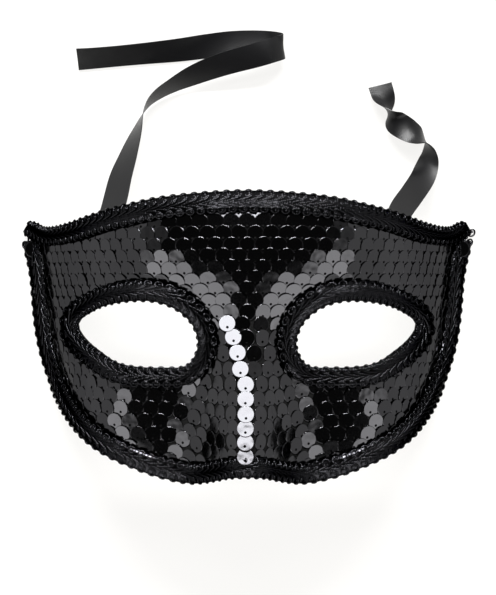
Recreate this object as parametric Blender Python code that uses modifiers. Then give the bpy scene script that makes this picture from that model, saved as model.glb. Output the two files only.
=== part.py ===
"""Sequined half mask, lying face up on a flat surface, with its two tie ribbons.

Metres, +Z up out of the face, +Y towards the forehead, +X across the mask. The origin is the
bottom centre of the mask without its ribbons.
"""

from math import cos, exp, log, pi, radians, sin, tan

import bmesh
import bpy
from mathutils import Vector

# Main sizes
MASK_WIDTH = 0.1664
MASK_HEIGHT = 0.1064
BROW_DEPTH = 0.067
NOSE_RISE = 0.025
NOSE_HALF_WIDTH = 0.013
RIM_SLOPE_DEG = 27
RIM_FLAT = 0.0033
RIM_REACH = 0.004
RIM_BLEND = 0.0012

# Walls and clearances
SHELL_WALL = 0.0014
CLOTH_WALL = 0.0010
LAYER_GAP = 0.0005
BRAID_SEAT_GAP = 0.0008
SHELL_INSET = 0.0012
CLOTH_INSET = 0.0030
EYE_SHELL_INSET = 0.0010
EYE_CLOTH_INSET = 0.0022
SHELL_FLOOR_GAP = 0.0009
CLOTH_FLOOR_GAP = 0.0034

# Gimp braid
BRAID_WIDTH = 0.0083
BRAID_THICKNESS = 0.0026
BRAID_EDGE_SHARE = 0.42
BRAID_REST_THICKNESS = 0.0011

# Eye openings
EYE_WIDTH = 0.0420
EYE_HEIGHT = 0.0220
EYE_SPACING = 0.0772

# Ribbons
RIBBON_WIDTH = 0.009
RIBBON_THICKNESS = 0.0009

# Cross sections of the face from the bottom edge to the brow edge. Columns: place as a share
# of the mask's height from its middle, crown as a share of the brow depth, half width as a
# share of the mask's, roundness as the power of the side curve, nose rise as a share of the
# nose rise, nose width as a share of the nose half width.
FACE_SECTIONS = (
    (-0.60, 0.610, 0.716, 6.6, 0.88, 1.08),
    (-0.47, 0.680, 0.793, 6.8, 0.97, 1.08),
    (-0.33, 0.725, 0.867, 6.9, 1.00, 1.00),
    (-0.17, 0.760, 0.899, 6.0, 0.74, 0.92),
    (-0.04, 0.805, 0.938, 4.4, 0.44, 0.84),
    (0.08, 0.875, 0.956, 3.4, 0.20, 0.76),
    (0.20, 0.965, 0.976, 3.1, 0.03, 0.72),
    (0.31, 1.000, 0.988, 3.0, 0.00, 0.70),
    (0.42, 0.975, 1.000, 2.9, 0.00, 0.70),
    (0.50, 0.905, 1.008, 2.8, 0.00, 0.70),
    (0.60, 0.780, 1.018, 2.8, 0.00, 0.70),
)
SECTION_COLUMNS = ("place", "crown", "half_width", "roundness", "nose_rise", "nose_width")

# Middle line of the brow braid from the centre to the ear corner. Columns: x as a share of the
# mask's half width, y as a share of its half height, width as a share of the braid's.
BROW_ROUTE = (
    (0.000, 0.887, 1.00),
    (0.140, 0.878, 1.00),
    (0.270, 0.861, 1.00),
    (0.400, 0.835, 1.00),
    (0.520, 0.797, 1.00),
    (0.640, 0.753, 1.00),
    (0.750, 0.705, 0.99),
    (0.835, 0.687, 0.97),
    (0.895, 0.696, 0.97),
    (0.945, 0.735, 1.00),
)

# Middle line of the cheek braid from under the ear corner to the bottom centre, same columns.
CHEEK_ROUTE = (
    (0.943, 0.588, 0.86),
    (0.930, 0.500, 0.86),
    (0.918, 0.380, 0.86),
    (0.909, 0.200, 0.86),
    (0.895, 0.020, 0.86),
    (0.870, -0.150, 0.86),
    (0.831, -0.310, 0.88),
    (0.768, -0.468, 0.90),
    (0.684, -0.607, 0.93),
    (0.583, -0.712, 0.96),
    (0.474, -0.790, 0.98),
    (0.380, -0.846, 1.00),
    (0.290, -0.878, 1.00),
    (0.215, -0.889, 1.00),
    (0.140, -0.869, 1.00),
    (0.075, -0.838, 1.00),
    (0.000, -0.820, 1.00),
)

# Edge of the right eye opening inside its braid, clockwise from the inner corner. Columns: x
# and y from the eye's middle as shares of its half width and half height.
EYE_EDGE = (
    (-1.000, -0.380),
    (-0.930, 0.180),
    (-0.750, 0.600),
    (-0.460, 0.915),
    (-0.060, 1.000),
    (0.440, 0.850),
    (0.790, 0.560),
    (1.000, 0.250),
    (0.860, -0.175),
    (0.580, -0.580),
    (0.310, -0.890),
    (-0.030, -1.010),
    (-0.430, -1.020),
    (-0.830, -0.960),
)
EYE_MIDDLE_Y = 0.0019

# Routes of the ribbons, chosen points on their middle lines. Columns: x, y and z in metres,
# then the way the ribbon's width points: its heading from +X and its lift, in degrees.
LEFT_RIBBON_ROUTE = (
    (-0.0505, 0.0345, 0.0415, 0, 42),
    (-0.0496, 0.0410, 0.0370, -4, 34),
    (-0.0476, 0.0485, 0.0305, -9, 20),
    (-0.0458, 0.0580, 0.0225, -13, 32),
    (-0.0434, 0.0667, 0.0150, -15, 50),
    (-0.0408, 0.0755, 0.0088, -20, 68),
    (-0.0377, 0.0838, 0.0060, -35, 92),
    (-0.0335, 0.0886, 0.0054, -48, 108),
    (-0.0272, 0.0925, 0.0054, -58, 120),
    (-0.0199, 0.0960, 0.0060, -66, 138),
    (-0.0125, 0.0988, 0.0072, -71, 150),
    (-0.0052, 0.1010, 0.0083, -74, 158),
    (0.0022, 0.1029, 0.0088, -77, 165),
    (0.0088, 0.1049, 0.0084, -80, 175),
    (0.0130, 0.1068, 0.0050, -85, 180),
    (0.0090, 0.1082, 0.0014, -90, 180),
    (0.0022, 0.1086, 0.0008, -92, 180),
    (-0.0060, 0.1083, 0.0009, -94, 178),
    (-0.0144, 0.1072, 0.0016, -96, 170),
    (-0.0254, 0.1056, 0.0027, -97, 156),
    (-0.0364, 0.1044, 0.0035, -96, 146),
    (-0.0475, 0.1033, 0.0038, -95, 142),
    (-0.0567, 0.1025, 0.0037, -94, 143),
    (-0.0626, 0.1021, 0.0035, -93, 146),
)
RIGHT_RIBBON_ROUTE = (
    (0.0510, 0.0335, 0.0394, -8, -43),
    (0.0528, 0.0400, 0.0322, -14, -36),
    (0.0556, 0.0460, 0.0250, -24, -22),
    (0.0601, 0.0520, 0.0172, -33, -10),
    (0.0643, 0.0582, 0.0107, -22, 2),
    (0.0662, 0.0636, 0.0066, 0, 28),
    (0.0666, 0.0678, 0.0056, 10, 60),
    (0.0656, 0.0714, 0.0056, 25, 95),
    (0.0625, 0.0739, 0.0060, 45, 140),
    (0.0589, 0.0760, 0.0062, 58, 168),
    (0.0547, 0.0788, 0.0058, 50, 200),
    (0.0522, 0.0820, 0.0054, 30, 262),
    (0.0505, 0.0877, 0.0040, 15, 335),
    (0.0490, 0.0927, 0.0030, 13, 350),
)

# Fineness of the curves, and the places of a braid's points across its half width
STEPS_PER_KNOT = 3
OUTLINE_STEPS_PER_KNOT = 2
RIBBON_STEPS_PER_KNOT = 2
CORNER_ANGLES = (30, 60, 90)
BRAID_ACROSS = (-1.0, -0.7, 0.0, 0.7, 1.0)
BRAID_END_ANGLES = (28, 54, 74, 86)
BRAID_TIP_SHARE = 0.45

# The grid of a face layer runs past the outline, and is finer at the nose and at the rim
GRID_COLUMNS = 16
GRID_ROWS = 20
GRID_OVERHANG_SHARE = 1.09
GRID_SIDE_SHARE = 1.015
GRID_EVEN_SHARE = 0.6
CUTTER_LOW = -0.01
CUTTER_HIGH = 0.12


def spline(knots, index, share):
    """Point on the smooth curve between knots[index] and the next, in every column."""
    last = len(knots) - 1
    before = knots[max(index - 1, 0)]
    start = knots[index]
    end = knots[min(index + 1, last)]
    after = knots[min(index + 2, last)]
    point = []
    for a, b, c, d in zip(before, start, end, after):
        rise = (c - a) / 2
        next_rise = (d - b) / 2
        cube = 2 * b - 2 * c + rise + next_rise
        square = -3 * b + 3 * c - 2 * rise - next_rise
        point.append(((cube * share + square) * share + rise) * share + b)
    return point


def smooth_route(knots, steps):
    """Stations on the smooth open curve through the knots, some steps to each."""
    stations = []
    for index in range(len(knots) - 1):
        for step in range(steps):
            stations.append(spline(knots, index, step / steps))
    stations.append(list(knots[-1]))
    return stations


def smooth_loop(knots, steps):
    """Stations on the smooth closed curve through the knots."""
    wrapped = (knots[-1],) + tuple(knots) + (knots[0], knots[1])
    stations = []
    for index in range(1, len(knots) + 1):
        for step in range(steps):
            stations.append(spline(wrapped, index, step / steps))
    return stations


def face_section(y):
    """The face's section sizes at height y up the mask, in metres where they are lengths."""
    place = y / MASK_HEIGHT
    index = 0
    while index < len(FACE_SECTIONS) - 2 and FACE_SECTIONS[index + 1][0] < place:
        index += 1
    low = FACE_SECTIONS[index]
    high = FACE_SECTIONS[index + 1]
    share = (place - low[0]) / (high[0] - low[0])
    share = min(max(share, 0.0), 1.0)
    values = dict(zip(SECTION_COLUMNS, spline(FACE_SECTIONS, index, share)))
    return (
        values["crown"] * BROW_DEPTH,
        values["half_width"] * MASK_WIDTH / 2,
        values["roundness"],
        values["nose_rise"] * NOSE_RISE,
        values["nose_width"] * NOSE_HALF_WIDTH,
    )


def face_height(x, y):
    """Height of the cloth's outer face: a side curve, a nose and a rim that flares out."""
    crown, half_width, roundness, nose_rise, nose_width = face_section(y)
    rim = tan(radians(RIM_SLOPE_DEG)) * (half_width - RIM_FLAT - abs(x))
    flank_width = half_width - RIM_REACH
    flank = crown * (1 - (abs(x) / flank_width) ** roundness)
    top = max(rim, flank)
    low = min(rim, flank)
    height = top + RIM_BLEND * log(1 + exp((low - top) / RIM_BLEND))
    return height + nose_rise * exp(-((x / nose_width) ** 2))


def face_point(x, y):
    """Point on the face above (x, y), and the outward normal there."""
    step = 0.0002
    slope_x = (face_height(x + step, y) - face_height(x - step, y)) / (2 * step)
    slope_y = (face_height(x, y + step) - face_height(x, y - step)) / (2 * step)
    return Vector((x, y, face_height(x, y))), Vector((-slope_x, -slope_y, 1)).normalized()


def principled(name, color, roughness, metallic=0.0):
    """A plain material with one colour."""
    material = bpy.data.materials.new(name)
    material.use_nodes = True
    shader = material.node_tree.nodes["Principled BSDF"]
    shader.inputs["Base Color"].default_value = (*color, 1.0)
    shader.inputs["Roughness"].default_value = roughness
    shader.inputs["Metallic"].default_value = metallic
    return material


def mesh_object(name, points, faces, collection, material=None):
    """A named object in a collection, smooth but for its sharp edges."""
    mesh = bpy.data.meshes.new(name)
    mesh.from_pydata(points, [], faces)
    shaped = bmesh.new()
    shaped.from_mesh(mesh)
    bmesh.ops.recalc_face_normals(shaped, faces=shaped.faces)
    shaped.to_mesh(mesh)
    shaped.free()
    mesh.shade_smooth()
    mesh.set_sharp_from_angle(angle=radians(40))
    piece = bpy.data.objects.new(name, mesh)
    collection.objects.link(piece)
    if material:
        mesh.materials.append(material)
    return piece


def loft(name, rings, collection, material, closed=False):
    """A closed body through rings of points, capped at both ends unless it is a loop."""
    count = len(rings[0])
    points = [point for ring in rings for point in ring]
    faces = []
    spans = len(rings) if closed else len(rings) - 1
    for span in range(spans):
        start = span * count
        end = (span + 1) % len(rings) * count
        for side in range(count):
            after = (side + 1) % count
            faces.append((start + side, start + after, end + after, end + side))
    if not closed:
        faces.append(tuple(range(count)))
        faces.append(tuple(range(len(points) - count, len(points))))
    return mesh_object(name, points, faces, collection, material)


def plan_route(half_route, start_side):
    """Whole route in metres from a half of shares, from one side over the centre to the other."""
    half = [
        (x * MASK_WIDTH / 2, y * MASK_HEIGHT / 2, width * BRAID_WIDTH / 2)
        for x, y, width in half_route
    ]
    other = [(-x, y, width) for x, y, width in half]
    if start_side < 0:
        return list(reversed(other)) + half[1:]
    return half + list(reversed(other))[1:]


def side_ways(stations, closed=False):
    """Unit vector to the left of travel in plan, at each station."""
    ways = []
    last = len(stations) - 1
    for index in range(len(stations)):
        after = stations[(index + 1) % len(stations)] if closed else stations[min(index + 1, last)]
        before = stations[index - 1] if closed or index else stations[0]
        travel = Vector((after[0] - before[0], after[1] - before[1], 0)).normalized()
        ways.append(Vector((-travel.y, travel.x, 0)))
    return ways


def turned(way, degrees):
    """A plan direction turned by an angle, to the left where it is positive."""
    angle = radians(degrees)
    return Vector(
        (way.x * cos(angle) - way.y * sin(angle), way.y * cos(angle) + way.x * sin(angle), 0)
    )


def braid_ring(x, y, half_width, way, height_share=1.0):
    """One section of the braid, its sole a gap above the face, its back crowned."""
    soles = []
    backs = []
    for across in BRAID_ACROSS:
        point, normal = face_point(x + across * half_width * way.x, y + across * half_width * way.y)
        crown = BRAID_EDGE_SHARE + (1 - BRAID_EDGE_SHARE) * (1 - across**4)
        sole = point + normal * BRAID_SEAT_GAP
        back = point + normal * (BRAID_SEAT_GAP + BRAID_THICKNESS * crown * height_share)
        sole.z = max(sole.z, 0.0)
        back.z = max(back.z, BRAID_REST_THICKNESS * height_share)
        soles.append(sole)
        backs.append(back)
    return soles + list(reversed(backs))


def braid_end(station, way, ahead):
    """Sections that round off the end of a braid, from its full width to its tip."""
    x, y, width = station
    rings = []
    for angle in BRAID_END_ANGLES:
        reach = width * sin(radians(angle))
        shrink = cos(radians(angle))
        tip = (x + ahead.x * reach, y + ahead.y * reach)
        height_share = BRAID_TIP_SHARE + (1 - BRAID_TIP_SHARE) * shrink
        rings.append(braid_ring(*tip, width * shrink, way, height_share))
    return rings


def braid(name, stations, collection, material, closed=False, rounded=False):
    """A braid that follows the face along a plan route."""
    ways = side_ways(stations, closed)
    rings = [braid_ring(x, y, width, way) for (x, y, width), way in zip(stations, ways)]
    if rounded:
        first = braid_end(stations[0], ways[0], turned(ways[0], 90))
        last = braid_end(stations[-1], ways[-1], turned(ways[-1], -90))
        rings = first[::-1] + rings + last
    return loft(name, rings, collection, material, closed)


def ribbon(name, route, collection, material):
    """A flat ribbon along chosen points, its width turned as the route's last columns say."""
    stations = smooth_route(route, RIBBON_STEPS_PER_KNOT)
    last = len(stations) - 1
    rings = []
    for index, (x, y, z, heading, lift) in enumerate(stations):
        travel = Vector(stations[min(index + 1, last)][:3]) - Vector(stations[max(index - 1, 0)][:3])
        travel.normalize()
        heading = radians(heading)
        lift = radians(lift)
        width = Vector((cos(heading) * cos(lift), sin(heading) * cos(lift), sin(lift)))
        width = (width - travel * width.dot(travel)).normalized() * RIBBON_WIDTH / 2
        through = travel.cross(width).normalized() * RIBBON_THICKNESS / 2
        middle = Vector((x, y, z))
        corners = (width + through, through - width, -width - through, width - through)
        rings.append([middle + corner for corner in corners])
    return loft(name, rings, collection, material)


def outline(inset):
    """The mask's edge in plan, an inset inside the outer edge of its braids."""
    brow = smooth_route(plan_route(BROW_ROUTE, -1), OUTLINE_STEPS_PER_KNOT)
    cheek = smooth_route(plan_route(CHEEK_ROUTE, 1), OUTLINE_STEPS_PER_KNOT)
    brow_ways = side_ways(brow)
    reaches = list(zip(brow, brow_ways))
    reaches += [(brow[-1], turned(brow_ways[-1], -angle)) for angle in CORNER_ANGLES]
    reaches += list(zip(cheek, side_ways(cheek)))
    reaches += [(brow[0], turned(brow_ways[0], angle)) for angle in reversed(CORNER_ANGLES)]
    edge = []
    for (x, y, width), way in reaches:
        edge.append((x + way.x * (width - inset), y + way.y * (width - inset)))
    return edge


def eye_edge(side, outset):
    """An eye opening in plan, an outset outside the inner edge of its braid."""
    knots = [
        (x * EYE_WIDTH / 2 + EYE_SPACING / 2, y * EYE_HEIGHT / 2 + EYE_MIDDLE_Y, 0.0)
        for x, y in EYE_EDGE
    ]
    stations = smooth_loop(knots, STEPS_PER_KNOT)
    ways = side_ways(stations, closed=True)
    edge = [(x + way.x * outset, y + way.y * outset) for (x, y, _), way in zip(stations, ways)]
    if side < 0:
        edge = [(-x, y) for x, y in reversed(edge)]
    return edge


def prism(name, edge, low, high, collection):
    """A cutter: a plan outline drawn up from one height to another."""
    count = len(edge)
    points = [(x, y, low) for x, y in edge] + [(x, y, high) for x, y in edge]
    faces = [tuple(range(count)), tuple(range(count, 2 * count))]
    for index in range(count):
        after = (index + 1) % count
        faces.append((index, after, count + after, count + index))
    cutter = mesh_object(name, points, faces, collection)
    cutter.hide_render = True
    cutter.display_type = "WIRE"
    return cutter


def layer_cutters(layer, inset, eye_outset, floor, collection):
    """The outline that a face layer keeps, and the two eye openings that it loses."""
    edge = prism(f"{layer}_outline", outline(inset), floor, CUTTER_HIGH, collection)
    cutters = [(edge, "INTERSECT")]
    for side, name in ((-1, "left_eye"), (1, "right_eye")):
        eye = eye_edge(side, eye_outset)
        cutters.append((prism(f"{layer}_{name}", eye, CUTTER_LOW, CUTTER_HIGH, collection), "DIFFERENCE"))
    return cutters


def column_share(index):
    """Place of a grid column from the centre, closer together at the nose and at the rim."""
    even = index / GRID_COLUMNS
    eased = (1 - cos(pi * even)) / 2
    return GRID_SIDE_SHARE * (GRID_EVEN_SHARE * even + (1 - GRID_EVEN_SHARE) * eased)


def face_layer(name, depth, wall, cutters, collection, material):
    """A layer of the face at a depth under its surface: half a grid, mirrored, walled and cut."""
    points = []
    for row in range(GRID_ROWS + 1):
        y = MASK_HEIGHT * GRID_OVERHANG_SHARE * (row / GRID_ROWS - 0.5)
        half_width = face_section(y)[1]
        for column in range(GRID_COLUMNS + 1):
            point, normal = face_point(column_share(column) * half_width, y)
            if column == 0:
                normal.x = 0.0
            points.append(point - normal * depth)
    faces = []
    for row in range(GRID_ROWS):
        for column in range(GRID_COLUMNS):
            start = row * (GRID_COLUMNS + 1) + column
            above = start + GRID_COLUMNS + 1
            faces.append((start, start + 1, above + 1, above))
    layer = mesh_object(name, points, faces, collection, material)
    mirror = layer.modifiers.new("other_half", "MIRROR")
    mirror.merge_threshold = 0.00001
    walled = layer.modifiers.new("wall", "SOLIDIFY")
    walled.thickness = wall
    walled.offset = -1.0
    for index, (cutter, operation) in enumerate(cutters):
        cut = layer.modifiers.new(f"cut_{index}", "BOOLEAN")
        cut.operation = operation
        cut.solver = "MANIFOLD"
        cut.object = cutter
    return layer


def build():
    """The whole mask."""
    for old in list(bpy.data.objects):
        bpy.data.objects.remove(old, do_unlink=True)
    mask = bpy.data.collections.new("sequined_mask")
    cutters = bpy.data.collections.new("cutters")
    for collection in (mask, cutters):
        bpy.context.scene.collection.children.link(collection)

    plastic = principled("moulded_plastic", (0.012, 0.012, 0.013), 0.45)
    sequins = principled("black_sequins", (0.010, 0.010, 0.011), 0.12)
    gimp = principled("gimp_braid", (0.008, 0.008, 0.009), 0.55)
    satin = principled("satin_ribbon", (0.014, 0.013, 0.015), 0.35)

    face_layer(
        "mask_shell",
        CLOTH_WALL + LAYER_GAP,
        SHELL_WALL,
        layer_cutters("shell", SHELL_INSET, EYE_SHELL_INSET, SHELL_FLOOR_GAP, cutters),
        mask,
        plastic,
    )
    face_layer(
        "sequin_cloth",
        0.0,
        CLOTH_WALL,
        layer_cutters("cloth", CLOTH_INSET, EYE_CLOTH_INSET, CLOTH_FLOOR_GAP, cutters),
        mask,
        sequins,
    )

    brow = smooth_route(plan_route(BROW_ROUTE, -1), STEPS_PER_KNOT)
    braid("brow_braid", brow, mask, gimp, rounded=True)
    cheek = smooth_route(plan_route(CHEEK_ROUTE, 1), STEPS_PER_KNOT)
    braid("cheek_braid", cheek, mask, gimp)
    for side, name in ((-1, "left_eye_braid"), (1, "right_eye_braid")):
        middle = [(x, y, BRAID_WIDTH / 2) for x, y in eye_edge(side, BRAID_WIDTH / 2)]
        braid(name, middle, mask, gimp, closed=True)

    ribbon("left_ribbon", LEFT_RIBBON_ROUTE, mask, satin)
    ribbon("right_ribbon", RIGHT_RIBBON_ROUTE, mask, satin)


build()
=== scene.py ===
# %% [markdown]
# # Sequined half mask
# The real mask is a thin moulded half face. Cloth sewn all over with round sequins is glued on it,
# gimp braid covers the raw edges, and two satin ribbons tie it on. It lies face up on a white
# table, seen from straight above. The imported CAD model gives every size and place.

# %% Load the fixed frame
import math
import random

import bpy
import numpy as np
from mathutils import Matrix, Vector
from mathutils.bvhtree import BVHTree


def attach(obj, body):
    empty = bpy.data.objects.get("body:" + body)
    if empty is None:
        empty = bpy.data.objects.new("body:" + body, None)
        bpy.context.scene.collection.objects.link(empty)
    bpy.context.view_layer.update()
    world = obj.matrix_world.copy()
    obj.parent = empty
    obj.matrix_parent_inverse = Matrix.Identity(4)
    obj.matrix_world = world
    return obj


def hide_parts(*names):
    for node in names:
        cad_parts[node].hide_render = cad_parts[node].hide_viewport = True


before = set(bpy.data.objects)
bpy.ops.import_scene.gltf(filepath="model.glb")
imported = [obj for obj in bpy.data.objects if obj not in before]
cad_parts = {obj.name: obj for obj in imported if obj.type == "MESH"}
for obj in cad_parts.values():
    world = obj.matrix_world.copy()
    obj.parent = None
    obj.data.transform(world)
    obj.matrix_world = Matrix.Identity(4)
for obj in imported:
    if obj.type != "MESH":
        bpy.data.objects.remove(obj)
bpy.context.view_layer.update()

# %% [markdown]
# ## Camera
# The picture is taken from straight above. A long lens a metre up keeps the flanks of the mask
# nearly parallel, and its focal length follows from the height of table that fills the picture.

# %% Camera over the mask
# metres, apart from the sensor's width, which Blender takes in millimetres
CAMERA_HEIGHT = 1.0
TABLE_SEEN = 0.2202
CAMERA_AIM = (0.0003, 0.0143)
SENSOR_WIDTH = 36

bpy.ops.object.camera_add(location=(*CAMERA_AIM, CAMERA_HEIGHT), rotation=(0, 0, 0))
camera = bpy.context.object
camera.data.sensor_width = SENSOR_WIDTH
camera.data.lens = SENSOR_WIDTH * CAMERA_HEIGHT / TABLE_SEEN
bpy.context.scene.camera = camera
print(f"lens {camera.data.lens:.0f} mm")

# %% [markdown]
# ## Ribbons
# A satin ribbon is a flat cord: it bends easily over its face and never in its own plane, so it
# changes direction by twisting. A mesh strip that follows chosen points, each with the way the
# ribbon's width points there, gives those twists. The points are those of the CAD ribbons.

# %% Routes of the ribbons
# x, y and z in metres, then the heading and the lift of the width, in degrees
LEFT_ROUTE = (
    (-0.0505, 0.0345, 0.0415, 0, 42),
    (-0.0496, 0.0410, 0.0370, -4, 34),
    (-0.0476, 0.0485, 0.0305, -9, 20),
    (-0.0458, 0.0580, 0.0225, -13, 32),
    (-0.0434, 0.0667, 0.0150, -15, 50),
    (-0.0408, 0.0755, 0.0088, -20, 68),
    (-0.0377, 0.0838, 0.0060, -35, 92),
    (-0.0335, 0.0886, 0.0054, -48, 108),
    (-0.0272, 0.0925, 0.0054, -58, 120),
    (-0.0199, 0.0960, 0.0060, -66, 138),
    (-0.0125, 0.0988, 0.0072, -71, 150),
    (-0.0052, 0.1010, 0.0083, -74, 158),
    (0.0022, 0.1029, 0.0088, -77, 165),
    (0.0088, 0.1049, 0.0084, -80, 175),
    (0.0130, 0.1068, 0.0050, -85, 180),
    (0.0090, 0.1082, 0.0014, -90, 180),
    (0.0022, 0.1086, 0.0008, -92, 180),
    (-0.0060, 0.1083, 0.0009, -94, 178),
    (-0.0144, 0.1072, 0.0016, -96, 170),
    (-0.0254, 0.1056, 0.0027, -97, 156),
    (-0.0364, 0.1044, 0.0035, -96, 146),
    (-0.0475, 0.1033, 0.0038, -95, 142),
    (-0.0567, 0.1025, 0.0037, -94, 143),
    (-0.0626, 0.1021, 0.0035, -93, 146),
)
RIGHT_ROUTE = (
    (0.0510, 0.0335, 0.0394, -8, -43),
    (0.0528, 0.0400, 0.0322, -14, -36),
    (0.0556, 0.0460, 0.0250, -24, -22),
    (0.0601, 0.0520, 0.0172, -33, -10),
    (0.0643, 0.0582, 0.0107, -22, 2),
    (0.0662, 0.0636, 0.0066, 0, 28),
    (0.0666, 0.0678, 0.0056, 10, 60),
    (0.0656, 0.0714, 0.0056, 25, 95),
    (0.0625, 0.0739, 0.0060, 45, 140),
    (0.0589, 0.0760, 0.0062, 58, 168),
    (0.0547, 0.0788, 0.0058, 50, 200),
    (0.0522, 0.0820, 0.0054, 30, 262),
    (0.0505, 0.0877, 0.0040, 15, 335),
    (0.0490, 0.0927, 0.0030, 13, 350),
)
RIBBON_WIDTH = 0.009
RIBBON_THICKNESS = 0.0003


def smooth_route(knots, steps, closed=False):
    """Points on the smooth curve through the knots, some steps from each knot to the next."""
    knots = np.array(knots, dtype=float)
    if closed:
        padded = np.vstack([knots[-1:], knots, knots[:2]])
    else:
        padded = np.vstack([knots[:1], knots, knots[-1:]])
    share = (np.arange(steps) / steps)[:, None]
    spans = []
    for before, start, end, after in zip(padded, padded[1:], padded[2:], padded[3:]):
        rise = (end - before) / 2
        next_rise = (after - start) / 2
        cube = 2 * start - 2 * end + rise + next_rise
        square = 3 * end - 3 * start - 2 * rise - next_rise
        spans.append(((cube * share + square) * share + rise) * share + start)
    if not closed:
        spans.append(knots[-1:])
    return np.vstack(spans)


# %% Helpers for meshes
def unit(vectors):
    """The same directions with length 1."""
    return vectors / np.maximum(np.linalg.norm(vectors, axis=-1, keepdims=True), 1e-12)


def mesh_piece(name, points, faces, uv=None):
    """A new object from points and faces, with a UV pair for each point where they are given."""
    mesh = bpy.data.meshes.new(name)
    mesh.from_pydata(np.asarray(points).tolist(), [], np.asarray(faces).tolist())
    if uv is not None:
        layer = mesh.uv_layers.new(name="along")
        corners = np.empty(len(mesh.loops), dtype=np.int32)
        mesh.loops.foreach_get("vertex_index", corners)
        layer.data.foreach_set("uv", np.asarray(uv, dtype=np.float32)[corners].ravel())
    piece = bpy.data.objects.new(name, mesh)
    bpy.context.scene.collection.objects.link(piece)
    select_only(piece)
    return piece


def select_only(piece):
    """Makes one piece the only selected and the active one, as most operators need."""
    bpy.ops.object.select_all(action="DESELECT")
    piece.select_set(True)
    bpy.context.view_layer.objects.active = piece


def grid_faces(rows, columns, closed=False):
    """Faces between neighbouring rows of points."""
    starts = np.arange(rows if closed else rows - 1)[:, None]
    side = np.arange(columns - 1)[None, :]
    low = starts * columns + side
    high = (starts + 1) % rows * columns + side
    return np.stack([low, low + 1, high + 1, high], axis=-1).reshape(-1, 4)


# %% [markdown]
# Each ribbon is a row of points across it at every station of its route, hollowed a little over
# its width, as real satin is. A modifier then gives the strip its thickness.

# %% Weave the ribbons
RIBBON_STEPS = 7
RIBBON_COLUMNS = 9
RIBBON_CAMBER = 0.00025
RIBBON_SMOOTHING = math.radians(50)


def ribbon(name, route):
    """A slightly cambered strip along the route, and the points of its middle line."""
    stations = smooth_route(route, RIBBON_STEPS)
    middle = stations[:, :3]
    travel = unit(np.gradient(middle, axis=0))
    heading, lift = np.radians(stations[:, 3]), np.radians(stations[:, 4])
    way = np.stack(
        [np.cos(heading) * np.cos(lift), np.sin(heading) * np.cos(lift), np.sin(lift)], axis=1
    )
    way = unit(way - travel * (way * travel).sum(axis=1, keepdims=True))
    through = np.cross(travel, way)
    across = np.linspace(-0.5, 0.5, RIBBON_COLUMNS)
    points = middle[:, None] + way[:, None] * across[None, :, None] * RIBBON_WIDTH
    points = points + through[:, None] * (RIBBON_CAMBER * (1 - 4 * across**2))[None, :, None]
    steps = np.linalg.norm(np.diff(middle, axis=0), axis=1)
    along = np.concatenate([[0.0], np.cumsum(steps)])
    uv = np.stack(np.broadcast_arrays(across[None, :] * RIBBON_WIDTH, along[:, None]), axis=-1)
    piece = mesh_piece(
        name, points.reshape(-1, 3), grid_faces(len(middle), RIBBON_COLUMNS), uv.reshape(-1, 2)
    )
    wall = piece.modifiers.new("thickness", "SOLIDIFY")
    wall.thickness = RIBBON_THICKNESS
    wall.offset = 0
    bpy.ops.object.modifier_apply(modifier=wall.name)
    bpy.ops.object.shade_smooth_by_angle(angle=RIBBON_SMOOTHING)
    print(f"{name}: {along[-1] * 1000:.0f} mm long")
    return piece, middle.tolist(), float(along[-1])


for side, route in (("left", LEFT_ROUTE), ("right", RIGHT_ROUTE)):
    piece, middle_line, ribbon_length = ribbon(f"{side}_tie", route)
    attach(piece, "root")
    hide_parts(f"{side}_ribbon")

# %% [markdown]
# ## Reading the frame from above
# Sequins and braid cords sit on curved surfaces of the CAD model. Dropping a ray straight down at
# each point of a fine grid gives the height of a node there, so that everything that is laid on
# it follows it.


# %% Height maps of the CAD nodes
MAP_STEP = 0.0005
MAP_X = np.arange(-0.086, 0.0861, MAP_STEP)
MAP_Y = np.arange(-0.056, 0.0561, MAP_STEP)
RAY_START = 0.2
SLOPE_BLUR = 0.0012


def node_tree(name):
    """A search tree over the triangles of a CAD node."""
    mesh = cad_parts[name].data
    points = [vertex.co.copy() for vertex in mesh.vertices]
    return BVHTree.FromPolygons(points, [tuple(face.vertices) for face in mesh.polygons])


def drop(tree, x, y):
    """Height of the highest surface above (x, y), or None."""
    hit = tree.ray_cast(Vector((x, y, RAY_START)), Vector((0, 0, -1)))[0]
    return None if hit is None else hit.z


def height_map(tree):
    """Heights on the grid, not a number where nothing is hit."""
    heights = np.full((len(MAP_Y), len(MAP_X)), np.nan)
    for row, y in enumerate(MAP_Y):
        for column, x in enumerate(MAP_X):
            height = drop(tree, x, y)
            if height is not None:
                heights[row, column] = height
    return heights


def filled(heights):
    """The same map with its holes grown over from their edges."""
    heights = heights.copy()
    while np.isnan(heights).any():
        padded = np.pad(heights, 1, constant_values=np.nan)
        sides = (padded[:-2, 1:-1], padded[2:, 1:-1], padded[1:-1, :-2], padded[1:-1, 2:])
        around = np.stack(sides)
        known = ~np.isnan(around)
        total = np.where(known, around, 0.0).sum(axis=0)
        count = known.sum(axis=0)
        grow = np.isnan(heights) & (count > 0)
        heights[grow] = total[grow] / count[grow]
    return heights


def blurred(heights, radius):
    """The map with every point averaged with those around it, by a bell curve."""
    reach = int(3 * radius / MAP_STEP)
    offsets = np.arange(-reach, reach + 1)
    weights = np.exp(-0.5 * (offsets * MAP_STEP / radius) ** 2)
    weights /= weights.sum()
    for axis in (0, 1):
        padded = np.pad(heights, [(reach, reach) if a == axis else (0, 0) for a in (0, 1)], "edge")
        size = heights.shape[axis]
        heights = sum(w * padded.take(range(i, i + size), axis) for i, w in enumerate(weights))
    return heights


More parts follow.
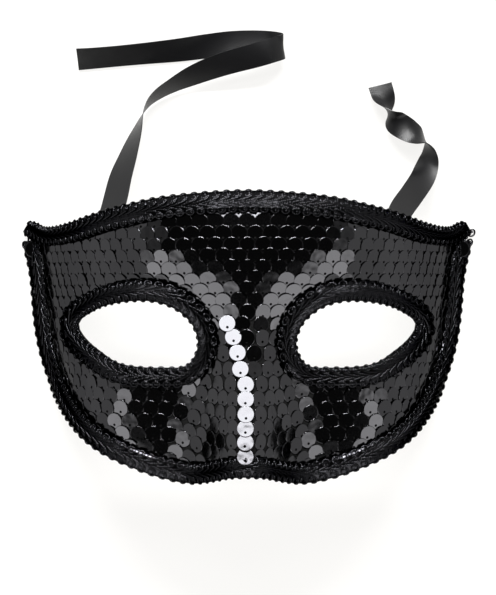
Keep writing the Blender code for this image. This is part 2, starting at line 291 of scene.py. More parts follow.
def read_map(values, x, y):
    """The map's value at any point, by the four grid points around it."""
    column = np.clip((np.asarray(x) - MAP_X[0]) / MAP_STEP, 0, len(MAP_X) - 1.001)
    row = np.clip((np.asarray(y) - MAP_Y[0]) / MAP_STEP, 0, len(MAP_Y) - 1.001)
    c, r = column.astype(int), row.astype(int)
    u, v = column - c, row - r
    low = values[r, c] * (1 - u) + values[r, c + 1] * u
    high = values[r + 1, c] * (1 - u) + values[r + 1, c + 1] * u
    return low * (1 - v) + high * v


BRAID_NODES = ("brow_braid", "cheek_braid", "left_eye_braid", "right_eye_braid")
cloth_hits = height_map(node_tree("sequin_cloth"))
braid_hits = [height_map(node_tree(name)) for name in BRAID_NODES]
braid_over = ~np.isnan(np.stack(braid_hits)).all(axis=0)
cloth_height = filled(cloth_hits)
cloth_smooth = blurred(cloth_height, SLOPE_BLUR)
slope_y, slope_x = np.gradient(cloth_smooth, MAP_STEP)
print("cloth covers", int((~np.isnan(cloth_hits)).sum() * MAP_STEP**2 * 1e4), "cm2 seen from above")

# %% [markdown]
# ## Gimp braid
# Gimp is made of thin cords that are laid in a chain of shepherd's crooks: each starts at the
# braid's middle, runs along it, arches outwards and curls up in a small loop at the edge. One
# crook is modelled as a round tube, then copied along both edges and bent over the CAD braid.

# %% One crook of cord
CROOK_PITCH = 0.00375
CORD_RADIUS = 0.00032
LOOP_RADIUS = 0.00132
LOOP_PLACE = (0.0044, 0.00270)
CORD_SIDES = 6
# along, across and height of the crook's straight part
CROOK_TAIL = (
    (-0.0007, 0.00028, -0.00040),
    (0.0006, 0.00034, -0.00006),
    (0.0019, 0.00056, 0.00006),
    (0.0031, 0.00096, 0.00010),
)
# degrees round the loop, then those of the curl in it, each with its share of the loop's radius
LOOP_ANGLES = range(-80, 256, 28)
CURL = ((290, 0.72), (335, 0.52), (385, 0.34), (440, 0.16))
LOOP_WAVE = 0.0001
CURL_RISE = 0.00008


def crook_line():
    """Middle line of a crook: along the braid, across it, and its height, in metres."""
    line = list(CROOK_TAIL)
    for angle in LOOP_ANGLES:
        turn = math.radians(angle)
        along = LOOP_PLACE[0] + LOOP_RADIUS * math.cos(turn)
        across = LOOP_PLACE[1] + LOOP_RADIUS * math.sin(turn)
        line.append((along, across, LOOP_WAVE * math.cos(turn)))
    for angle, share in CURL:
        turn = math.radians(angle)
        along = LOOP_PLACE[0] + share * LOOP_RADIUS * math.cos(turn)
        across = LOOP_PLACE[1] + share * LOOP_RADIUS * math.sin(turn)
        line.append((along, across, CURL_RISE * (1 - share)))
    return np.array(line)


def tube(line):
    """Rings of points along a line, the faces between them, and UV along the line."""
    travel = unit(np.gradient(line, axis=0))
    up = np.array([0.0, 0.0, 1.0])
    side = unit(np.cross(travel, up))
    top = np.cross(side, travel)
    turn = (np.arange(CORD_SIDES) / CORD_SIDES - 0.25) * 2 * math.pi
    cosine, sine = np.cos(turn)[None, :, None], np.sin(turn)[None, :, None]
    around = cosine * side[:, None] + sine * top[:, None]
    points = line[:, None] + CORD_RADIUS * around
    steps = np.linalg.norm(np.diff(line, axis=0), axis=1)
    along = np.repeat(np.concatenate([[0.0], np.cumsum(steps)]), CORD_SIDES)
    uv = np.stack([np.zeros_like(along), along], axis=1)
    faces = []
    for ring in range(len(line) - 1):
        for corner in range(CORD_SIDES):
            after = (corner + 1) % CORD_SIDES
            low = ring * CORD_SIDES
            high = low + CORD_SIDES
            faces.append((low + corner, low + after, high + after, high + corner))
    return points.reshape(-1, 3), np.array(faces), uv


crook = tube(crook_line())
# a loop without its straight part fills the open start of a chain
curl = tube(crook_line()[len(CROOK_TAIL) :])
print("one crook:", len(crook[1]) * 2, "triangles")

# %% [markdown]
# The middle lines of the four braids are the CAD part's own routes. Across each of them the CAD
# braid is scanned from above, which gives its back as a grid of points, and so its outward side.

# %% Routes of the braids
MASK_WIDTH = 0.1664
MASK_HEIGHT = 0.1064
BRAID_WIDTH = 0.0083
# x as a share of the half width, y of the half height, width of the braid's
BROW_ROUTE = (
    (0.000, 0.887, 1.00),
    (0.140, 0.878, 1.00),
    (0.270, 0.861, 1.00),
    (0.400, 0.835, 1.00),
    (0.520, 0.797, 1.00),
    (0.640, 0.753, 1.00),
    (0.750, 0.705, 0.99),
    (0.835, 0.687, 0.97),
    (0.895, 0.696, 0.97),
    (0.945, 0.735, 1.00),
)
CHEEK_ROUTE = (
    (0.943, 0.588, 0.86),
    (0.930, 0.500, 0.86),
    (0.918, 0.380, 0.86),
    (0.909, 0.200, 0.86),
    (0.895, 0.020, 0.86),
    (0.870, -0.150, 0.86),
    (0.831, -0.310, 0.88),
    (0.768, -0.468, 0.90),
    (0.684, -0.607, 0.93),
    (0.583, -0.712, 0.96),
    (0.474, -0.790, 0.98),
    (0.380, -0.846, 1.00),
    (0.290, -0.878, 1.00),
    (0.215, -0.889, 1.00),
    (0.140, -0.869, 1.00),
    (0.075, -0.838, 1.00),
    (0.000, -0.820, 1.00),
)
EYE_WIDTH = 0.0420
EYE_HEIGHT = 0.0220
EYE_SPACING = 0.0772
EYE_MIDDLE_Y = 0.0019
# x and y from the right eye's middle as shares of its half width and half height, clockwise
EYE_EDGE = (
    (-1.000, -0.380),
    (-0.930, 0.180),
    (-0.750, 0.600),
    (-0.460, 0.915),
    (-0.060, 1.000),
    (0.440, 0.850),
    (0.790, 0.560),
    (1.000, 0.250),
    (0.860, -0.175),
    (0.580, -0.580),
    (0.310, -0.890),
    (-0.030, -1.010),
    (-0.430, -1.020),
    (-0.830, -0.960),
)
ROUTE_STEPS = 8
# degrees round a rounded end, where its extra stations lie
END_ANGLES = (20, 38, 54, 68, 78)


def plan_ways(stations, closed):
    """Unit directions to the left of travel in plan."""
    if closed:
        travel = np.roll(stations[:, :2], -1, axis=0) - np.roll(stations[:, :2], 1, axis=0)
    else:
        travel = np.gradient(stations[:, :2], axis=0)
    travel = unit(travel)
    return np.stack([-travel[:, 1], travel[:, 0]], axis=1)


def edge_route(half_route):
    """A braid's route in metres from the left side over the middle to the right side."""
    half = np.array(half_route) * (MASK_WIDTH / 2, MASK_HEIGHT / 2, BRAID_WIDTH / 2)
    if half[0, 0] > half[-1, 0]:
        half = half[::-1]
    left = half[::-1] * (-1, 1, 1)
    return smooth_route(np.vstack([left, half[1:]]), ROUTE_STEPS)


def with_round_ends(stations):
    """The route with stations over the rounded ends of its braid added."""
    ways = plan_ways(stations, False)
    ends = []
    for index, side in ((0, -1), (-1, 1)):
        x, y, half = stations[index]
        ahead = np.array([ways[index, 1], -ways[index, 0]]) * side * half
        reaches = np.sin(np.radians(END_ANGLES))
        ends.append([(x + ahead[0] * reach, y + ahead[1] * reach, half) for reach in reaches])
    return np.vstack([ends[0][::-1], stations, ends[1]])


def eye_route(side):
    """The middle line of an eye's braid, clockwise."""
    edge = np.array(EYE_EDGE) * (EYE_WIDTH / 2, EYE_HEIGHT / 2)
    edge += (EYE_SPACING / 2, EYE_MIDDLE_Y)
    edge = smooth_route(edge, ROUTE_STEPS, closed=True)
    edge = edge + plan_ways(edge, True) * BRAID_WIDTH / 2
    if side < 0:
        edge = edge[::-1] * (-1, 1)
    return np.hstack([edge, np.full((len(edge), 1), BRAID_WIDTH / 2)])


# %% The back of a CAD braid as a grid
BAND_COLUMNS = 13
SCAN_STEP = 0.0002
SCAN_OVER = 0.004
BLUR_TIMES = 3


def along_blur(values, closed):
    """Every row of the grid averaged with its neighbours, a few times over."""
    for _ in range(BLUR_TIMES):
        if closed:
            before, after = np.roll(values, 1, axis=0), np.roll(values, -1, axis=0)
        else:
            before = np.concatenate([values[:1], values[:-1]])
            after = np.concatenate([values[1:], values[-1:]])
        values = (before + 2 * values + after) / 4
    return values


def braid_back(node, stations, closed):
    """Points on the back of a CAD braid, its outward directions and the length up to each row."""
    tree = node_tree(node)
    ways = plan_ways(stations, closed)
    rows = []
    for (x, y, half), way in zip(stations, ways):
        offsets = np.arange(-half - SCAN_OVER, half + SCAN_OVER, SCAN_STEP)
        heights = np.array([drop(tree, x + u * way[0], y + u * way[1]) or np.nan for u in offsets])
        start = int(np.argmin(np.where(np.isnan(heights), 1.0, np.abs(offsets))))
        low = high = start
        while low > 0 and not np.isnan(heights[low - 1]):
            low -= 1
        while high < len(offsets) - 1 and not np.isnan(heights[high + 1]):
            high += 1
        places = np.linspace(offsets[low], offsets[high], BAND_COLUMNS)
        levels = np.interp(places, offsets[low : high + 1], heights[low : high + 1])
        rows.append(np.stack([x + places * way[0], y + places * way[1], levels], axis=1))
    points = along_blur(np.array(rows), closed)
    if closed:
        forward = np.roll(points, -1, axis=0) - np.roll(points, 1, axis=0)
    else:
        forward = np.gradient(points, axis=0)
    sideways = np.gradient(points, axis=1)
    outward = unit(np.cross(forward, sideways))
    outward = outward * np.where(outward[..., 2:].mean() < 0, -1, 1)
    middle = points[:, BAND_COLUMNS // 2]
    gaps = np.linalg.norm(np.diff(middle, axis=0), axis=1)
    if closed:
        gaps = np.append(gaps, np.linalg.norm(middle[0] - middle[-1]))
    along = np.concatenate([[0.0], np.cumsum(gaps)])
    return points, outward, along


# %% [markdown]
# A curve modifier could bend a chain of crooks along the braid, but not over its rounded back.
# So the crooks are laid out flat in two long rows, half a pitch apart, and every point is then
# carried to the scanned back: along it, across it and up from it. A thin dull base lies under
# them. The cheek braid goes on under the ends of the brow braid.

# %% Lay crooks over the braid
CORD_SINK = 0.00040
HALF_BAND = 0.0043
BASE_SINK = 0.00080
BASE_WALL = 0.0004
BASE_SHARE = 0.94
EDGE_SHIFT = 0.5
END_ROWS = 4
CROOK_REACH = LOOP_PLACE[0] + LOOP_RADIUS + CORD_RADIUS


def on_back(points, outward, along, closed, places):
    """Bends points given along, across and above a braid over its back."""
    if closed:
        points = np.concatenate([points, points[:1]])
        outward = np.concatenate([outward, outward[:1]])
        ahead = np.mod(places[:, 0], along[-1])
    else:
        ahead = np.clip(places[:, 0], 0, along[-1])
    row = np.interp(ahead, along, np.arange(len(along)))
    column = (places[:, 1] / HALF_BAND + 1) / 2 * (BAND_COLUMNS - 1)
    r = np.clip(row.astype(int), 0, len(points) - 2)
    c = np.clip(column.astype(int), 0, BAND_COLUMNS - 2)
    u, v = (row - r)[:, None], (column - c)[:, None]
    corners = (
        (r, c, (1 - u) * (1 - v)),
        (r + 1, c, u * (1 - v)),
        (r, c + 1, (1 - u) * v),
        (r + 1, c + 1, u * v),
    )
    spot = sum(points[i, j] * weight for i, j, weight in corners)
    out = unit(sum(outward[i, j] * weight for i, j, weight in corners))
    return spot + out * places[:, 2:]


def lengthened(points, outward, along, reach):
    """A scanned back with one more row at each end, a reach further on in its last direction."""
    first = points[0] + unit(points[0] - points[END_ROWS]) * reach
    last = points[-1] + unit(points[-1] - points[-1 - END_ROWS]) * reach
    points = np.concatenate([first[None], points, last[None]])
    outward = np.concatenate([outward[:1], outward, outward[-1:]])
    along = np.concatenate([[0.0], along + reach, [along[-1] + 2 * reach]])
    return points, outward, along


def gimp(name, node, stations, closed=False, tuck=0.0):
    """Two chains of crooks over a dark woven base, in one mesh.

    With a tuck, the base goes on by that length at each end, and the crooks by twice as much.
    """
    points, outward, along = braid_back(node, stations, closed)
    if tuck:
        points, outward, along = lengthened(points, outward, along, tuck)
    middle = points[:, BAND_COLUMNS // 2][:, None]
    base_points = middle + (points - middle) * BASE_SHARE - outward * BASE_SINK
    base_faces = grid_faces(len(points), BAND_COLUMNS, closed)
    base_uv = np.zeros((base_points.size // 3, 2))
    base = mesh_piece(f"{name}_base", base_points.reshape(-1, 3), base_faces, base_uv)
    wall = base.modifiers.new("thickness", "SOLIDIFY")
    wall.thickness = BASE_WALL
    wall.offset = 0
    bpy.ops.object.modifier_apply(modifier=wall.name)
    if tuck:
        points, outward, along = lengthened(points, outward, along, tuck)
    length = along[-1]
    if closed:
        count = round(length / CROOK_PITCH)
        pitch = length / count
    else:
        count = round((length - CROOK_REACH) / CROOK_PITCH) + 1
        pitch = (length - CROOK_REACH) / (count - EDGE_SHIFT)
    copies, faces, uv, used = [], [], [], 0
    for index in range(-1, count):
        for side in (-1, 1):
            start = index * pitch + (0 if side > 0 else pitch * EDGE_SHIFT)
            cord_points, cord_faces, cord_uv = crook
            if index < 0:
                if closed or tuck:
                    continue
                start = max(start, LOOP_RADIUS - LOOP_PLACE[0])
                cord_points, cord_faces, cord_uv = curl
            copies.append(cord_points * (1, side, 1) + (start, 0, -CORD_SINK))
            faces.append((cord_faces if side > 0 else cord_faces[:, ::-1]) + used)
            uv.append(cord_uv)
            used += len(cord_points)
    laid = on_back(points, outward, along, closed, np.concatenate(copies))
    mesh_piece(name, laid, np.concatenate(faces), np.concatenate(uv))
    bpy.ops.object.shade_smooth()
    base.select_set(True)
    bpy.ops.object.join()
    piece = bpy.context.object
    piece.name = name
    # the cords take the first material and the base the second
    parts = (np.arange(len(piece.data.polygons)) >= sum(map(len, faces))).astype(np.int32)
    piece.data.polygons.foreach_set("material_index", parts)
    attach(piece, "root")
    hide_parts(node)
    print(f"{name}: {length * 1000:.0f} mm, {len(copies)} crooks")
    return piece


CHEEK_TUCK = 0.0049

braids = [
    gimp("brow_gimp", "brow_braid", with_round_ends(edge_route(BROW_ROUTE))),
    gimp("cheek_gimp", "cheek_braid", edge_route(CHEEK_ROUTE), tuck=CHEEK_TUCK),
    gimp("left_eye_gimp", "left_eye_braid", eye_route(-1), closed=True),
    gimp("right_eye_gimp", "right_eye_braid", eye_route(1), closed=True),
]

# %% [markdown]
# ## Sequins
# A sequin is punched out of a shiny film, 6 mm wide, with a hole off its middle where the thread
# holds it. One is modelled by hand: a thin cylinder, its rim curled down, its hole cut. A flat
# disc would be simpler, but the curled rim is what catches the lamps as a thin arc.

# %% One sequin
SEQUIN_RADIUS = 0.00298
SEQUIN_THICKNESS = 0.00018
SEQUIN_SIDES = 20
# width and rise of the rings that curl the rim, from the outside in
RIM_RINGS = ((0.00006, 0.00005), (0.00007, 0.00002))
RIM_SUPPORT = 0.00006
HOLE_RADIUS = 0.00048
HOLE_OFFSET = 0.00135
HOLE_SIDES = 10
PUNCH_LENGTH = 0.002
# least upward part of the normal of a face that belongs to the top
FACES_UP = 0.99

rim_drop = sum(rise for _, rise in RIM_RINGS)
bpy.ops.mesh.primitive_cylinder_add(
    vertices=SEQUIN_SIDES,
    radius=SEQUIN_RADIUS,
    depth=SEQUIN_THICKNESS - rim_drop,
    location=(0, 0, -rim_drop / 2),
)
bpy.ops.object.transform_apply(location=True)
sequin = bpy.context.object
sequin.name = "sequin"
bpy.ops.object.mode_set(mode="EDIT")
bpy.ops.mesh.select_mode(type="FACE")
bpy.ops.mesh.select_all(action="DESELECT")
bpy.ops.object.mode_set(mode="OBJECT")
for face in sequin.data.polygons:
    face.select = face.normal.z > FACES_UP
bpy.ops.object.mode_set(mode="EDIT")
for width, rise in RIM_RINGS:
    bpy.ops.mesh.inset(thickness=width)
    bpy.ops.transform.translate(value=(0, 0, rise))
bpy.ops.mesh.inset(thickness=RIM_SUPPORT)
bpy.ops.object.mode_set(mode="OBJECT")
bpy.ops.mesh.primitive_cylinder_add(
    vertices=HOLE_SIDES, radius=HOLE_RADIUS, depth=PUNCH_LENGTH, location=(0, -HOLE_OFFSET, 0)
)
punch = bpy.context.object
select_only(sequin)
hole = sequin.modifiers.new("hole", "BOOLEAN")
hole.operation = "DIFFERENCE"
hole.solver = "EXACT"
hole.object = punch
bpy.ops.object.modifier_apply(modifier=hole.name)
bpy.data.objects.remove(punch)
bpy.ops.object.mode_set(mode="EDIT")
bpy.ops.mesh.select_all(action="SELECT")
bpy.ops.mesh.quads_convert_to_tris()
bpy.ops.object.mode_set(mode="OBJECT")
sequin_points = np.array([vertex.co for vertex in sequin.data.vertices])
sequin_faces = np.array([tuple(face.vertices) for face in sequin.data.polygons])
bpy.data.objects.remove(sequin)
print("one sequin:", len(sequin_faces), "triangles")

# %% [markdown]
# The sequins are sewn in level rows from the forehead down, each row half a sequin aside of the
# last one. A row covers the lower edge of the one above it, so the top edge of every sequin stands
# out a little. Along the ridge of the nose one sequin of each row sits on top, in a column.

# %% Rows of sequins
# y of a row on the middle line and out on the flanks, in millimetres
ROWS = (
    (48.6, 48.3),
    (44.6, 44.3),
    (40.6, 40.2),
    (36.5, 36.1),
    (32.5, 32.1),
    (28.6, 28.2),
    (24.8, 24.1),
    (21.0, 20.0),
    (17.4, 16.0),
    (13.5, 12.1),
    (9.3, 8.2),
    (4.9, 4.2),
    (0.3, 0.2),
    (-5.1, -3.8),
    (-10.7, -7.9),
    (-15.7, -12.0),
    (-20.9, -16.1),
    (-25.9, -20.3),
    (-30.7, -24.7),
    (-35.6, -29.2),
    (-40.5, -33.7),
    (-45.4, -38.2),
    (-50.3, -42.7),
    (-54.0, -47.0),
)
ROW_PITCH = 0.00545
ROW_END = 0.08
WALK_STEP = 0.0001
# metres from the middle line between which a row goes over to its level on the flanks
BLEND_START = 0.006
BLEND_END = 0.030
# rows below this level lie on the nose, in millimetres
NOSE_TOP = 6.5
# x of the ridge's sequins in the rows over the bridge of the nose, in millimetres, by row
BRIDGE_X = {4.9: -6.9, 0.3: -4.8, -5.1: -3.3, -10.7: -2.3}
RIDGE_X = -0.6
# how much closer to the ridge the sequins of the nose start
NOSE_TUCK = 0.0006
# places over which every other row of the nose comes to lie half a sequin aside
EASE_PLACES = 3


def row_height(row, x):
    """Level of a row at x: its own on the middle line, and another on the flanks."""
    middle, flank = row
    share = np.clip((abs(x) - BLEND_START) / (BLEND_END - BLEND_START), 0, 1)
    share = share * share * (3 - 2 * share)
    return (middle + (flank - middle) * share) / 1000


def row_places(row, start, side, passed):
    """Places along a row from its start outwards, a pitch apart measured on the surface.

    The first one is nearer to the start by the length that is already passed.
    """
    x = start
    places = []
    while abs(x) < ROW_END:
        y = row_height(row, x)
        x += side * WALK_STEP
        passed += WALK_STEP * math.hypot(1, read_map(slope_x, x, y))
        if passed >= ROW_PITCH:
            passed -= ROW_PITCH
            places.append((x, row_height(row, x)))
    return places


seam = random.Random(11)
spots = []
for number, row in enumerate(ROWS):
    middle = row[0]
    nose = middle < NOSE_TOP
    if nose:
        start = BRIDGE_X.get(middle, RIDGE_X) / 1000
        spots.append((start, row_height(row, start), "ridge"))
        starts = ((start, -1), (start, 1))
    elif number % 2 == 0:
        spots.append((0.0, row_height(row, 0.0), "plain"))
        starts = ((0.0, -1), (0.0, 1))
    else:
        starts = ((ROW_PITCH / 2, -1), (-ROW_PITCH / 2, 1))
    for start, side in starts:
        ahead = NOSE_TUCK if nose else 0.0
        for index, (x, y) in enumerate(row_places(row, start, side, ahead)):
            if nose and number % 2:
                ease = min((index + 1) / EASE_PLACES, 1) * ROW_PITCH / 2
                run = math.hypot(1, float(read_map(slope_x, x, y)))
                x += side * ease / run
            spots.append((x, y, "plain"))
print(len(spots), "places for sequins")

# %% [markdown]
# The cloth's slope turns a sequin, it leans by a few degrees so that the row above it fits under
# its top edge, and it is raised until all its edge is clear of the cloth. Instances would spread
# the sequins faster, but the export needs real faces, so every sequin is a copy in one mesh. A
# little chance in place and tilt keeps them from looking printed.

# %% Sew the sequins on
CLEARANCE = 0.00008
SEQUIN_SEAT = 0.00036
MOST_RAISED = 0.0012
EDGE_PROBES = 12
LEAN = math.radians(6.2)
# share of the lean that is left where the cloth stands upright
STEEP_LEAN = 0.35
SHINGLE = math.radians(1.3)
RIDGE_TILT = math.radians(20)
RIDGE_RISE = 0.0009
TILT_SPREAD = math.radians(1.0)
PLACE_SPREAD = 0.00008
TURN_SPREAD = 5
SHOWN_REACH = 0.0026
RIM_SMOOTHING = math.radians(45)


def shows(x, y):
    """Whether some of a sequin's middle is over cloth that no braid covers."""
    column = int(round((x - MAP_X[0]) / MAP_STEP))
    row = int(round((y - MAP_Y[0]) / MAP_STEP))
    reach = int(SHOWN_REACH / MAP_STEP)
    rows = slice(max(row - reach, 0), row + reach + 1)
    columns = slice(max(column - reach, 0), column + reach + 1)
    bare = ~np.isnan(cloth_hits[rows, columns]) & ~braid_over[rows, columns]
    return bool(bare.any())


def turned(first, second, angle):
    """Two directions at right angles, both turned by the angle from the first to the second."""
    return (
        first * math.cos(angle) + second * math.sin(angle),
        second * math.cos(angle) - first * math.sin(angle),
    )


def seat(x, y, kind):
    """Place and directions of a sequin: its middle, to its right, to its top and outwards."""
    out = Vector((-float(read_map(slope_x, x, y)), -float(read_map(slope_y, x, y)), 1))
    shingle = math.copysign(SHINGLE, -x)
    if kind == "ridge":
        out = Vector((0, math.tan(RIDGE_TILT), 1))
        shingle = 0
    out.normalize()
    lean = LEAN * (STEEP_LEAN + (1 - STEEP_LEAN) * out.z)
    right = Vector((1, 0, 0))
    right = (right - out * right.dot(out)).normalized()
    top = out.cross(right)
    spread = 0 if kind == "ridge" else TILT_SPREAD
    lean += seam.gauss(0, spread)
    shingle += seam.gauss(0, spread)
    out, top = turned(out, top, -lean)
    out, right = turned(out, right, -shingle)
    middle = Vector((x, y, float(read_map(cloth_height, x, y)))) + out * SEQUIN_SEAT
    worst = 1.0
    for step in range(EDGE_PROBES):
        turn = step / EDGE_PROBES * 2 * math.pi
        edge = middle + (right * math.cos(turn) + top * math.sin(turn)) * SEQUIN_RADIUS
        gap = (edge.z - float(read_map(cloth_height, edge.x, edge.y))) * out.z
        worst = min(worst, gap)
    needed = CLEARANCE + SEQUIN_THICKNESS / 2
    if worst < needed:
        middle += out * min(needed - worst, MOST_RAISED)
    if kind == "ridge":
        middle.z += RIDGE_RISE
    return middle, right, top, out


sequin_copies = []
for x, y, kind in spots:
    if not shows(x, y):
        continue
    x += seam.gauss(0, PLACE_SPREAD)
    y += seam.gauss(0, PLACE_SPREAD)
    middle, right, top, out = seat(x, y, kind)
    turn = math.radians(seam.gauss(0, TURN_SPREAD))
    right, top = turned(right, top, turn)
    axes = np.array([right, top, out])
    sequin_copies.append(sequin_points @ axes + np.array(middle))
shift = np.arange(len(sequin_copies))[:, None, None] * len(sequin_points)
sequins = mesh_piece(
    "sequins", np.concatenate(sequin_copies), (sequin_faces[None] + shift).reshape(-1, 3)
)
bpy.ops.object.shade_smooth_by_angle(angle=RIM_SMOOTHING)
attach(sequins, "root")
print(len(sequin_copies), "sequins,", len(sequins.data.polygons), "triangles")

# %% [markdown]
# ## Materials
# Everything is black, so the finishes tell the pieces apart: glossy film, silky cord, satin,
# knitted cloth and moulded plastic. Colours are given as sRGB hex values and turned to linear.


# %% Colour and node helpers
def linear(code):
    """Linear colour of an sRGB hex value, with alpha."""
    parts = [int(code[i : i + 2], 16) / 255 for i in (1, 3, 5)]
    return (*[c / 12.92 if c <= 0.04045 else ((c + 0.055) / 1.055) ** 2.4 for c in parts], 1.0)


def add_node(tree, kind, settings=None, links=None, **properties):
    """Adds a node, sets its properties and sockets, and links its inputs to other outputs."""
    node = tree.nodes.new(kind)
    for name, value in properties.items():
        setattr(node, name, value)
    for socket, value in (settings or {}).items():
        node.inputs[socket].default_value = value
    for socket, source in (links or {}).items():
        tree.links.new(source, node.inputs[socket])
    return node


def new_material(name):
    """A node material that is still empty, and its tree."""
    material = bpy.data.materials.new(name)
    material.use_nodes = True
    material.node_tree.nodes.clear()
    return material, material.node_tree


# %% [markdown]
# ## Sequin film
# Sequins are punched from polyester film that is coated with metal in a vacuum and lacquered
# black. The lacquer keeps most of the light, so the film is a mirror that reflects about 4
# percent. A metal with a dark base colour is such a mirror. The film never lies quite flat, so a
# slow wave of 4 mm bends what it reflects.

# %% Metallised PET film
film, tree = new_material("black_pet_film")
place = add_node(tree, "ShaderNodeTexCoord")
wave = add_node(
    tree,
    "ShaderNodeTexNoise",
    {"Scale": 260.0, "Detail": 1.0},
    {"Vector": place.outputs["Object"]},
)
bump = add_node(
    tree, "ShaderNodeBump", {"Strength": 0.16, "Distance": 0.0003}, {"Height": wave.outputs["Fac"]}
)
shine = add_node(
    tree,
    "ShaderNodeBsdfPrincipled",
    {
        "Base Color": linear("#3b3b3d"),
        "Metallic": 1.0,
        "Roughness": 0.10,
        "Specular Tint": linear("#b8b8b8"),
    },
    {"Normal": bump.outputs["Normal"]},
)
add_node(tree, "ShaderNodeOutputMaterial", links={"Surface": shine.outputs["BSDF"]})
sequins.data.materials.clear()
sequins.data.materials.append(film)
print(film.name, "on the sequins")

# %% [markdown]
# ## Gimp cord
# The cord is rayon floss, wound over a cotton core. It shows as thin lines of light that its
# twist breaks up, so the floss is a dark metal with a tight shine and with bands across the cord.
# The real twist is too fine to show in the picture, so the bands are 0.8 mm apart. The base under
# the cords is dull cotton with lint 0.7 mm wide.

# %% Rayon gimp cord
rayon, tree = new_material("rayon_gimp_cord")
TWIST_PITCH = 0.0008
# the wave texture repeats every 2 pi / 20 at scale 1
WAVE_REPEAT = 2 * math.pi / 20
place = add_node(tree, "ShaderNodeUVMap", uv_map="along")
twist = add_node(
    tree,
    "ShaderNodeTexWave",
    {"Scale": WAVE_REPEAT / TWIST_PITCH},
    {"Vector": place.outputs["UV"]},
    bands_direction="Y",
)
bump = add_node(
    tree,
    "ShaderNodeBump",
    {"Strength": 0.35, "Distance": 0.00015},
    {"Height": twist.outputs["Fac"]},
)
shine = add_node(
    tree,
    "ShaderNodeBsdfPrincipled",
    {
        "Base Color": linear("#202022"),
        "Metallic": 1.0,
        "Roughness": 0.10,
        "Specular Tint": linear("#404040"),
    },
    {"Normal": bump.outputs["Normal"]},
)
add_node(tree, "ShaderNodeOutputMaterial", links={"Surface": shine.outputs["BSDF"]})

# %% Cotton base of the gimp
cotton, tree = new_material("cotton_gimp_core")
place = add_node(tree, "ShaderNodeTexCoord")
lint = add_node(
    tree,
    "ShaderNodeTexNoise",
    {"Scale": 1500.0, "Detail": 2.0},
    {"Vector": place.outputs["Object"]},
)
bump = add_node(
    tree, "ShaderNodeBump", {"Strength": 0.5, "Distance": 0.0002}, {"Height": lint.outputs["Fac"]}
)
shine = add_node(
    tree,
    "ShaderNodeBsdfPrincipled",
    {"Base Color": linear("#030303"), "Roughness": 0.95, "Specular IOR Level": 0.12},
    {"Normal": bump.outputs["Normal"]},
)
add_node(tree, "ShaderNodeOutputMaterial", links={"Surface": shine.outputs["BSDF"]})
for piece in braids:
    piece.data.materials.clear()
    piece.data.materials.append(rayon)
    piece.data.materials.append(cotton)
print(rayon.name, "and", cotton.name, "on", len(braids), "braids")

# %% [markdown]
# ## Ribbon satin
# Warp threads float over the face of satin, so it has a soft shine in place of a mirror's. That
# is a rough black with a weak gloss and a touch of sheen. Single threads are too fine to show, so
# the bands along the ribbon are 0.35 mm apart, which is a few threads each.

# %% Polyester satin
satin, tree = new_material("polyester_satin")
place = add_node(tree, "ShaderNodeUVMap", uv_map="along")
warp = add_node(
    tree,
    "ShaderNodeTexWave",
    {"Scale": 900.0, "Distortion": 0.6, "Detail": 1.0},
    {"Vector": place.outputs["UV"]},
    bands_direction="X",
)
bump = add_node(
    tree, "ShaderNodeBump", {"Strength": 0.15, "Distance": 0.0001}, {"Height": warp.outputs["Fac"]}
)
shine = add_node(
    tree,
    "ShaderNodeBsdfPrincipled",
    {
        "Base Color": linear("#070708"),
        "Roughness": 0.36,
        "Specular IOR Level": 0.20,
        "Sheen Weight": 0.03,
        "Sheen Roughness": 0.4,
    },
    {"Normal": bump.outputs["Normal"]},
)
add_node(tree, "ShaderNodeOutputMaterial", links={"Surface": shine.outputs["BSDF"]})
for name in ("left_tie", "right_tie"):
    bpy.data.objects[name].data.materials.clear()
    bpy.data.objects[name].data.materials.append(satin)
print(satin.name, "on the ribbons")

# %% [markdown]
# ## Backing and shell
# A knitted polyester backing shows in the gaps between the sequins, and the moulded shell on the
# inner side. The knit is dull and nearly black, with stitches 0.7 mm wide. The shell is PVC with
# a grain of 1 mm, which breaks its gloss up.

# %% Polyester knit
backing, tree = new_material("polyester_knit")
place = add_node(tree, "ShaderNodeTexCoord")
knit = add_node(
    tree, "ShaderNodeTexVoronoi", {"Scale": 1400.0}, {"Vector": place.outputs["Object"]}
)
bump = add_node(
    tree,
    "ShaderNodeBump",
    {"Strength": 0.5, "Distance": 0.0002},
    {"Height": knit.outputs["Distance"]},
)
shine = add_node(
    tree,
    "ShaderNodeBsdfPrincipled",
    {"Base Color": linear("#050505"), "Roughness": 0.9, "Specular IOR Level": 0.12},
    {"Normal": bump.outputs["Normal"]},
)
add_node(tree, "ShaderNodeOutputMaterial", links={"Surface": shine.outputs["BSDF"]})

# %% Moulded PVC
plastic, tree = new_material("moulded_pvc")
place = add_node(tree, "ShaderNodeTexCoord")
grain = add_node(
    tree,
    "ShaderNodeTexNoise",
    {"Scale": 900.0, "Detail": 3.0},
    {"Vector": place.outputs["Object"]},
)
bump = add_node(
    tree, "ShaderNodeBump", {"Strength": 0.25, "Distance": 0.0002}, {"Height": grain.outputs["Fac"]}
)
shine = add_node(
    tree,
    "ShaderNodeBsdfPrincipled",
    {"Base Color": linear("#0c0c0d"), "Roughness": 0.5, "IOR": 1.45},
    {"Normal": bump.outputs["Normal"]},
)
add_node(tree, "ShaderNodeOutputMaterial", links={"Surface": shine.outputs["BSDF"]})
for node, material in (("sequin_cloth", backing), ("mask_shell", plastic)):
    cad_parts[node].data.materials.clear()
    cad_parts[node].data.materials.append(material)
    print(material.name, "on", node)

# %% [markdown]
# ## Table and light
# The mask lies on a white light table, so its shadows stay faint. Overhead it is dark, which
# makes level sequins black, and the white walls round the table give the flanks their grey.

# %% Light table
TABLE_SIZE = 6

